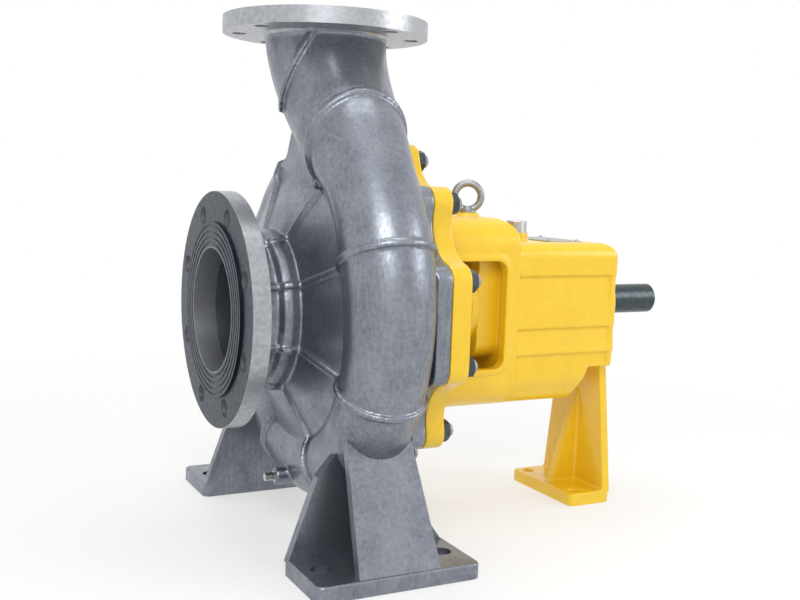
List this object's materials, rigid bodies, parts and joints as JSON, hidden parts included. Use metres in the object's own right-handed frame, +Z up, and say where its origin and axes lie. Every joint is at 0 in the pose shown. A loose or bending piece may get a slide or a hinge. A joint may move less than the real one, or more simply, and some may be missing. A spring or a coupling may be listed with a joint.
{
  "type": "petrochemical process pump",
  "caption": "Horizontal end-suction process pump with volute casing, swan-neck discharge, back pull-out cover, shaft seal, bearing bracket and support foot",
  "frame": {"origin": "on the ground plane below the crossing of the shaft axis and the discharge axis, which is the centre of the four casing foot holes", "axes": "+X along the shaft from the suction flange to the drive end, +Z up along the discharge axis"},
  "size_m": [0.67, 0.5, 0.635],
  "materials": {
    "cast_steel": "bare stainless casting, fine blasted skin",
    "turned_steel": "turned stainless steel",
    "fastener_steel": "zinc plated steel",
    "dark_fastener": "dark hexagon nuts",
    "bearing_steel": "ground bearing steel",
    "shaft_steel": "ground shaft with a thin film of oil",
    "plate_steel": "bare sheet",
    "yellow_paint": "glossy yellow paint on rough cast iron",
    "gasket": "graphite sheet",
    "carbon": "seal carbon",
    "seal_rubber": "nitrile rubber",
    "brass_cage": "machined brass",
    "sight_glass": "clear glass"
  },
  "bodies": {
    "base": {"volute_casing": "cast_steel", "suction_nozzle": "cast_steel", "discharge_nozzle": "cast_steel", "near_casing_foot": "cast_steel", "far_casing_foot": "cast_steel", "casing_wear_ring": "turned_steel", "casing_drain_plug": "turned_steel", "casing_cover": "cast_steel", "casing_gasket": "gasket", "casing_studs": "fastener_steel", "casing_nuts": "dark_fastener", "gland_plate": "turned_steel", "gland_studs": "fastener_steel", "gland_nuts": "fastener_steel", "seal_stationary_ring": "carbon", "inboard_bearing_outer_race": "bearing_steel", "outboard_bearing_outer_race": "bearing_steel", "inboard_bearing_cover": "yellow_paint", "outboard_bearing_cover": "yellow_paint", "inboard_lip_seal": "seal_rubber", "outboard_lip_seal": "seal_rubber", "inboard_cover_screws": "fastener_steel", "outboard_cover_screws": "fastener_steel", "bearing_bracket": "yellow_paint", "lifting_eyebolt": "fastener_steel", "bare_plate": "plate_steel", "plate_rivets": "fastener_steel", "oil_sight_bezel": "turned_steel", "oil_sight_lens": "sight_glass", "oil_drain_plug": "fastener_steel", "support_foot": "yellow_paint", "support_foot_bolts": "fastener_steel"},
    "rotor": {"shaft": "shaft_steel", "impeller": "cast_steel", "impeller_key": "fastener_steel", "impeller_nut": "turned_steel", "shaft_sleeve": "turned_steel", "seal_rotary_ring": "carbon", "seal_drive_collar": "turned_steel", "seal_spring": "fastener_steel", "inboard_bearing_inner_race": "bearing_steel", "outboard_bearing_inner_race": "bearing_steel", "bearing_lock_washer": "fastener_steel", "bearing_lock_nut": "fastener_steel", "shaft_deflector": "turned_steel"},
    "inboard_cage_set": {"inboard_bearing_cage": "brass_cage", "inboard_bearing_balls": "bearing_steel"},
    "outboard_cage_set": {"outboard_bearing_cage": "brass_cage", "outboard_bearing_balls": "bearing_steel"},
    "filler_cap": {"oil_filler_cap": "turned_steel"}
  },
  "joints": [
    {"name": "shaft_spin", "type": "hinge", "parent": "base", "child": "rotor", "pos_m": [0, 0, 0.28], "axis": [1, 0, 0], "continuous": true},
    {"name": "inboard_cage_spin", "type": "hinge", "parent": "base", "child": "inboard_cage_set", "pos_m": [0.2245, 0, 0.28], "axis": [1, 0, 0], "continuous": true},
    {"name": "outboard_cage_spin", "type": "hinge", "parent": "base", "child": "outboard_cage_set", "pos_m": [0.372, 0, 0.28], "axis": [1, 0, 0], "continuous": true},
    {"name": "filler_cap_lift", "type": "slide", "parent": "base", "child": "filler_cap", "axis": [0, 0, 1], "range_m": [0, 0.03]}
  ],
  "couplings": [
    {"joint": "inboard_cage_spin", "follows": "shaft_spin", "ratio": 0.383},
    {"joint": "outboard_cage_spin", "follows": "shaft_spin", "ratio": 0.383}
  ]
}
